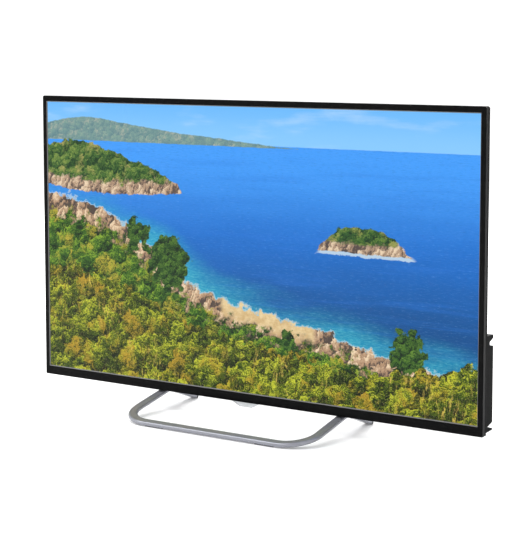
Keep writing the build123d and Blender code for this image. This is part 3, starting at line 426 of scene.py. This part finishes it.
class View:
    """Places on the screen, and the noises that all parts of the picture share."""

    def __init__(self, paint):
        x, _, z = paint.split(paint.place)
        self.paint = paint
        self.across = (x - screen_left) / screen_width
        self.up = (z - screen_low) / screen_height
        self.place = paint.join(self.across * screen_shape, self.up, 0.0)
        self.swell = paint.noise(paint.stretched(self.place, y=4.5), scale=3.2)
        flattened = paint.stretched(self.place, y=5.5)
        self.ripples = paint.noise(flattened, scale=46.0, detail=6.0, rough=0.75)
        self.fray = paint.swing(self.place, scale=24.0, detail=7.0, rough=0.7)
        distance, _, _ = paint.cells(bent(paint, self.place, scale=40.0, reach=0.03), scale=30.0)
        self.puffs = puff_size - distance

    def below(self, line):
        """How far a point lies below a line."""
        return self.paint.curve(self.across, line) - self.up

    def frayed(self, inside, leaves, tufts=0.0):
        """Distance inside an outline that leaves fray and tufts push out."""
        return inside + self.puffs * tufts + self.fray * leaves


def sky_and_sea(view):
    """Sky with thin cloud, over a sea with lanes and ripples."""
    paint, up, ripples = view.paint, view.up, view.ripples
    clouds = paint.noise(paint.stretched(view.place, y=5.0), scale=2.6, detail=5.0)
    sky = paint.mix(up.blend(horizon, sky_end), low_sky, high_sky)
    sky = paint.mix(clouds.blend(0.5, 0.75) * cloud_cover, sky, cloud_white)
    distance = up + view.swell * sea_swell - sea_swell / 2
    sea = paint.mix(distance.blend(*mid_sea_reach), near_sea, mid_sea)
    sea = paint.mix(distance.blend(*far_sea_reach), sea, far_sea)
    lanes = paint.noise(paint.stretched(view.place, y=16.0), scale=2.2, detail=5.0, rough=0.6)
    sea = paint.mix(lanes.blend(0.48, 0.7) * lane_cover, sea, lane_blue)
    sea = paint.mix(ripples.blend(0.52, 0.78) * light_wave_cover, sea, wave_light)
    sea = paint.mix(ripples.blend(0.5, 0.25) * dark_wave_cover, sea, wave_dark)
    return paint.mix((up + ripples * soft_edge).blend(horizon, horizon + soft_edge), sea, sky)


def add_hills(view, picture):
    """Hazy hills behind the sea, at the left."""
    paint = view.paint
    hills = paint.mix(haze_cover, foliage(paint, view.place, *hill_bushes), hill_haze)
    shown = view.frayed(view.below(hill_line), leaves=0.014).blend(0.0, soft_edge)
    above_sea = view.frayed(view.up - horizon + hill_sink, leaves=0.008)
    return paint.mix(shown * above_sea.blend(0.0, sharp_edge), picture, hills)


def add_shallows(view, picture):
    """Bright water along the near shore."""
    paint = view.paint
    gap = view.up - paint.curve(view.across, shallows_line)
    gap = gap + view.swell * shallows_swell - shallows_shift
    water = paint.mix(view.ripples.blend(0.4, 0.7), shallow_blue, shallow_pale)
    return paint.mix(gap.blend(*shallows_fade) * shallows_cover, picture, water)


def add_headland(view, picture):
    """Low wooded headland with a cliff, at the left."""
    paint = view.paint
    foot = paint.curve(view.across, headland_foot)
    bush = foliage(paint, view.place, *headland_bushes)
    rock = rocks(paint, view.place, *headland_rocks)
    cliff = view.frayed(foot - view.up + headland_cliff, leaves=0.12).blend(*headland_cliff_edge)
    shown = view.frayed(view.below(headland_line), leaves=0.03, tufts=0.02).blend(0.0, soft_edge)
    shown = shown * view.frayed(view.up - foot, leaves=0.035).blend(0.0, soft_edge)
    return paint.mix(shown, picture, paint.mix(cliff, bush, rock))


def add_islet(view, picture):
    """Small wooded islet with surf at its foot."""
    paint = view.paint
    crest = view.below(islet_line)
    foot = view.up - islet_foot
    bush = foliage(paint, view.place, *islet_bushes)
    rock = rocks(paint, view.place, *islet_rocks)
    cliff = view.frayed(islet_foot + islet_cliff - view.up, leaves=0.07).blend(*islet_cliff_edge)
    surf = view.frayed(foot + surf_below, leaves=0.03).blend(0.0, soft_edge)
    surf = surf * (islet_foot + surf_above - view.up).blend(0.0, foam_edge)
    surf = surf * crest.blend(0.0, surf_inset)
    picture = paint.mix(surf * surf_cover, picture, surf_white)
    shown = view.frayed(crest, leaves=0.035, tufts=0.022).blend(0.0, soft_edge)
    shown = shown * view.frayed(foot, leaves=0.03).blend(0.0, sharp_edge)
    return paint.mix(shown, picture, paint.mix(cliff, bush, rock))


def add_coast(view, picture):
    """Near shore: rocks with foam at their foot, a sandy cove, and bushes above them."""
    paint = view.paint
    gap = view.frayed(view.below(coast_line), leaves=0.1, tufts=0.03)
    sand = paint.mix((view.fray + view.ripples * 0.4).blend(0.0, 0.4), sand_dark, sand_pale)
    rock = rocks(paint, view.place, *coast_rocks)
    bush = foliage(paint, view.place, *coast_bushes)
    coast = paint.mix(view.frayed(gap, leaves=0.2).blend(*rock_to_bush), rock, bush)
    cove = paint.curve(view.across, cove_share).blend(*cove_cover) * gap.blend(*sand_fade)
    coast = paint.mix(cove, coast, sand)
    foam = (gap + foam_width).blend(0.0, foam_edge) * foam_cover
    return paint.mix(gap.blend(0.0, soft_edge), paint.mix(foam, picture, foam_white), coast)


def add_trees(view, picture):
    """Lone trees with dark round crowns."""
    paint = view.paint
    crown = foliage(paint, view.place, *tree_crowns)
    for middle_x, middle_y, reach in trees:
        offset_x = (view.across - middle_x) * screen_shape
        offset_y = (view.up - middle_y) * crown_squeeze
        radius = (offset_x * offset_x + offset_y * offset_y).math("SQRT")
        shown = view.frayed(reach - radius, leaves=0.11, tufts=0.05) - crown_trim
        picture = paint.mix(shown.blend(0.0, leafy_edge), picture, crown)
    return picture


def add_near_slope(view, picture):
    """Sunlit bushes and dry grass at the bottom of the picture."""
    paint, place = view.paint, view.place
    slope = foliage(paint, place, *near_bushes)
    blades = bent(paint, paint.stretched(place, y=0.3), scale=9.0, reach=0.12)
    straw = paint.noise(blades, scale=62.0, detail=6.0, rough=0.8)
    dry = paint.noise(place, scale=3.4, detail=3.0).blend(0.42, 0.6)
    slope = paint.mix(straw.blend(0.54, 0.64) * dry * straw_cover, slope, straw_pale)
    slope = paint.mix(straw.blend(0.45, 0.37) * dry * straw_cover, slope, straw_dark)
    grain = paint.noise(place, scale=190.0, detail=5.0, rough=0.8)
    slope = paint.mix(grain.blend(0.56, 0.68) * glint_cover, slope, leaf_glint)
    slope = paint.mix(grain.blend(0.44, 0.32) * gap_cover, slope, leaf_gap)
    shown = view.frayed(view.below(near_line), leaves=0.09, tufts=0.05)
    return paint.mix(shown.blend(0.0, leafy_edge), picture, slope)


def bay_picture(paint):
    """Made-up view over a bay, painted from far to near."""
    view = View(paint)
    picture = sky_and_sea(view)
    for add in (add_hills, add_shallows, add_headland, add_islet, add_coast, add_trees, add_near_slope):
        picture = add(view, picture)
    return picture


def screen_glass():
    """Lit panel behind a satin, slightly reflecting front."""
    paint = Surface("lit_screen")
    paint.set(Base_Color=grey(0.004), Roughness=0.22, Specular_IOR_Level=0.12)
    paint.set(Emission_Color=bay_picture(paint), Emission_Strength=1.0)
    return paint.material


def gloss_black():
    """Polished black plastic with faint haze and waviness, and a painted highlight: a light grey band
    round the screen opening that stands in for the light reflected by the inner chamfer.
    """
    paint = Surface("gloss_black")
    x, _, z = paint.split(paint.place)
    haze = paint.noise(paint.place, scale=9.0, detail=3.0)
    dust = paint.noise(paint.place, scale=900.0, detail=2.0)
    # Mask of the painted highlight: a thin band round the screen opening where the inner chamfer would
    # reflect light
    beside = (x - (screen_left + screen_width / 2)).math("ABSOLUTE") - screen_width / 2
    above = (z - (screen_low + screen_height / 2)).math("ABSOLUTE") - screen_height / 2
    bevel_highlight = beside.math("MAXIMUM", above).blend(inner_bevel, inner_bevel - bevel_blur)
    black = paint.mix(haze, grey(0.002), grey(0.0038))
    # Painted highlight: the band is light grey instead of black, in place of a real reflection
    paint.set(Base_Color=paint.mix(bevel_highlight, black, grey(0.15)))
    paint.set(Roughness=dust * 0.05 + haze * 0.03 + 0.03, Specular_IOR_Level=0.055)
    paint.bump(haze, distance=0.00004, strength=0.35)
    return paint.material


def moulded(name, colour, roughness, grain, relief, specular=0.3, index=1.5):
    """Moulded plastic with a spark-eroded grain."""
    paint = Surface(name)
    fine, shade, _ = paint.cells(paint.place, scale=grain)
    patches = paint.noise(paint.place, scale=14.0)
    worn = tuple(value * 1.25 + 0.0006 for value in colour)
    paint.set(Base_Color=paint.mix(patches.blend(0.3, 0.8), colour, worn))
    paint.set(Roughness=paint.split(shade)[0] * 0.12 + patches * 0.1 + roughness - 0.1)
    paint.set(Specular_IOR_Level=specular, IOR=index)
    paint.bump(fine + patches * 0.3, distance=relief, strength=0.5)
    return paint.material


def metal(name, colour, roughness, stretch, brushed=0.5, bare=1.0):
    """Metal with fine lines along one axis and a cloudy sheen. A bare share below 1 is silver paint."""
    paint = Surface(name)
    lines = paint.noise(paint.stretched(paint.place, *stretch), scale=60.0, detail=5.0, rough=0.7)
    clouds = paint.noise(paint.place, scale=22.0)
    darker = tuple(value * 0.82 for value in colour)
    paint.set(Base_Color=paint.mix(clouds * 0.6 + lines * 0.4, darker, colour))
    paint.set(Metallic=bare, Roughness=lines * 0.16 + clouds * 0.06 + roughness - 0.1)
    paint.bump(lines, distance=0.00002, strength=brushed)
    return paint.material


def circuit():
    """Solder-masked board with pale tracks under the mask and bright pads."""
    paint = Surface("circuit_board")
    x, _, z = paint.split(paint.place)
    track_turns = 900.0
    steps = paint.noise(paint.place, scale=130.0, detail=0.0) * 9.0
    wave_x = (x * track_turns + steps).math("SINE").blend(0.2, 0.6)
    wave_z = (z * track_turns + steps).math("SINE").blend(0.2, 0.6)
    choice = paint.noise(paint.place, scale=45.0, detail=1.0).blend(0.48, 0.52)
    tracks = wave_x * choice + wave_z * (1.0 - choice)
    pads, _, _ = paint.cells(paint.place, scale=240.0)
    colour = paint.mix(tracks, srgb(8, 62, 34), srgb(20, 98, 54))
    bright = pads.blend(0.16, 0.12)
    paint.set(Base_Color=paint.mix(bright, colour, srgb(196, 190, 170)))
    paint.set(Metallic=bright * 0.9, Roughness=0.42 - bright * 0.15)
    paint.bump(tracks + bright, distance=0.00005, strength=0.6)
    return paint.material


def clear_plastic():
    """Frosted clear plastic."""
    paint = Surface("clear_plastic")
    frost = paint.noise(paint.place, scale=420.0, detail=3.0)
    paint.set(Base_Color=paint.mix(frost, srgb(196, 199, 202), srgb(232, 234, 236)))
    paint.set(Roughness=frost * 0.1 + 0.16, Transmission_Weight=0.45, IOR=1.46)
    paint.bump(frost, distance=0.00002, strength=0.4)
    return paint.material


def film():
    """White optical film with a fine prism line."""
    paint = Surface("white_film")
    _, _, z = paint.split(paint.place)
    prism_turns = 12000.0
    ridges = (z * prism_turns).math("SINE")
    clouds = paint.noise(paint.place, scale=30.0, detail=3.0)
    paint.set(Base_Color=paint.mix(clouds, grey(0.78), grey(0.9)), Roughness=clouds * 0.1 + 0.4)
    paint.bump(ridges, distance=0.00003, strength=0.5)
    return paint.material


def rubber(name, colour):
    """Matte rubber with a dusty bloom."""
    paint = Surface(name)
    bloom = paint.noise(paint.place, scale=160.0, detail=5.0, rough=0.7)
    pale = tuple(value * 2.0 + 0.01 for value in colour)
    paint.set(Base_Color=paint.mix(bloom.blend(0.45, 0.8), colour, pale))
    paint.set(Roughness=bloom * 0.2 + 0.6, Specular_IOR_Level=0.3)
    paint.bump(bloom, distance=0.0001, strength=0.5)
    return paint.material


def winding():
    """Wound copper under yellow tape."""
    paint = Surface("winding")
    _, _, z = paint.split(paint.place)
    wire_turns = 5200.0
    turns = (z * wire_turns).math("SINE").blend(-0.6, 0.6)
    stains = paint.noise(paint.place, scale=90.0)
    paint.set(Base_Color=paint.mix(turns * 0.7 + stains * 0.3, srgb(120, 78, 20), srgb(206, 168, 52)))
    paint.set(Roughness=stains * 0.2 + 0.35)
    paint.bump(turns, distance=0.0002, strength=0.6)
    return paint.material


def studio_paper():
    """Pale paper with a faint glow, so that the surroundings stay white."""
    paint = Surface("studio_paper")
    fibre = paint.noise(paint.place, scale=240.0)
    paint.set(Base_Color=paint.mix(fibre, grey(0.93), grey(0.95)))
    paint.set(Roughness=0.9, Specular_IOR_Level=0.1)
    paint.set(Emission_Color=grey(1.0), Emission_Strength=paper_glow)
    paint.bump(fibre, distance=0.0001, strength=0.2)
    return paint.material


# Directions of brushing or rolling: how fast a texture changes along x, y and z
along_x = (1.0, 30.0, 30.0)
along_z = (30.0, 30.0, 1.0)
rolled = (3.0, 3.0, 1.0)
all_ways = (1.0, 1.0, 1.0)

# Finishes by material slot. Grain is in cells a metre and relief in metres.
finishes = {
    "bezel": gloss_black(),
    "screen": screen_glass(),
    "shell": moulded(
        "shell_plastic", grey(0.008), roughness=0.5, grain=1500.0, relief=0.00012, specular=0.08, index=1.2
    ),
    "stand_metal": metal("stand_steel", (0.28, 0.285, 0.32), 0.2, along_x, brushed=0.3, bare=0.38),
    "clear_plastic": clear_plastic(),
    "white_film": film(),
    "frame_plastic": moulded("frame_plastic", grey(0.012), roughness=0.6, grain=900.0, relief=0.0001),
    "sheet_steel": metal("zinc_plated_steel", srgb(178, 182, 186), 0.38, rolled, brushed=0.4),
    "board": circuit(),
    "chip": moulded("chip_resin", grey(0.014), roughness=0.5, grain=2200.0, relief=0.00005),
    "sink": metal("finned_aluminium", srgb(196, 200, 204), 0.34, along_z),
    "winding": winding(),
    "capacitor": moulded(
        "capacitor_sleeve", srgb(22, 28, 58), roughness=0.3, grain=1200.0, relief=0.00003, specular=0.5
    ),
    "screw": metal("blackened_steel", grey(0.045), 0.42, all_ways, brushed=0.6),
    "bright_steel": metal("bright_steel", srgb(200, 202, 206), 0.28, along_x),
    "socket_plastic": moulded("socket_plastic", grey(0.01), roughness=0.5, grain=1300.0, relief=0.00006),
    "lead": rubber("lead_sleeve", grey(0.012)),
    "ribbon": moulded(
        "ribbon_film", srgb(214, 208, 192), roughness=0.45, grain=1600.0, relief=0.00003, specular=0.4
    ),
    "cone": moulded("speaker_cone", grey(0.016), roughness=0.7, grain=700.0, relief=0.0002),
    "key": moulded(
        "key_plastic", grey(0.012), roughness=0.42, grain=1800.0, relief=0.00005, specular=0.35
    ),
    "pad": rubber("pad_rubber", grey(0.012)),
    "cap": rubber("cap_plastic", grey(0.02)),
}

for subpart in frame["record"]["subparts"]:
    mesh = nodes[subpart["node"]].data
    mesh.materials.clear()
    mesh.materials.append(finishes[subpart["material_slot"]])


def backdrop():
    """Pale round floor that curves up into a wall on all sides."""
    profile = []
    for step in range(wall_steps + 1):
        angle = pi / 2 * step / wall_steps
        profile.append((floor_radius + wall_curve * sin(angle), wall_curve * (1 - cos(angle))))
    profile.append((floor_radius + wall_curve, wall_height))
    points = [(0.0, 0.0, 0.0)]
    for radius, z in profile:
        for side in range(wall_sides):
            turn = 2 * pi * side / wall_sides
            points.append((radius * cos(turn), radius * sin(turn), z))
    faces = []
    for side in range(wall_sides):
        after = (side + 1) % wall_sides
        faces.append((0, 1 + side, 1 + after))
        for row in range(len(profile) - 1):
            low = 1 + row * wall_sides
            high = low + wall_sides
            faces.append((low + side, high + side, high + after, low + after))
    mesh = bpy.data.meshes.new("studio_floor")
    mesh.from_pydata(points, [], faces)
    for face in mesh.polygons:
        face.use_smooth = True
    mesh.materials.append(studio_paper())
    floor = bpy.data.objects.new("studio_floor", mesh)
    scene.collection.objects.link(floor)


def softbox(name, place, target, width, height, power):
    """Rectangular studio light aimed at a point."""
    data = bpy.data.lights.new(name, "AREA")
    data.shape = "RECTANGLE"
    data.size = width
    data.size_y = height
    data.energy = power
    lamp = bpy.data.objects.new(name, data)
    lamp.location = place
    lamp.rotation_euler = (Vector(target) - Vector(place)).to_track_quat("-Z", "Y").to_euler()
    scene.collection.objects.link(lamp)


def studio_world():
    """Even white surroundings."""
    world = bpy.data.worlds.new("studio")
    world.use_nodes = True
    background = world.node_tree.nodes["Background"]
    background.inputs["Color"].default_value = (1.0, 1.0, 1.0, 1.0)
    background.inputs["Strength"].default_value = 1.0
    scene.world = world


def place_camera():
    """Camera in front and to the right, a little above the set, with a long lens."""
    data = bpy.data.cameras.new("camera")
    data.lens = lens
    data.shift_y = lens_shift
    data.dof.use_dof = False
    camera = bpy.data.objects.new("camera", data)
    camera.location = (camera_right, face_y - camera_forward, set_low + camera_rise)
    camera.rotation_euler = (radians(90 - camera_pitch), 0.0, radians(camera_yaw))
    scene.collection.objects.link(camera)
    scene.camera = camera


backdrop()
studio_world()
for name, settings in softboxes.items():
    softbox(name, *settings)
place_camera()
scene.view_settings.view_transform = "Standard"
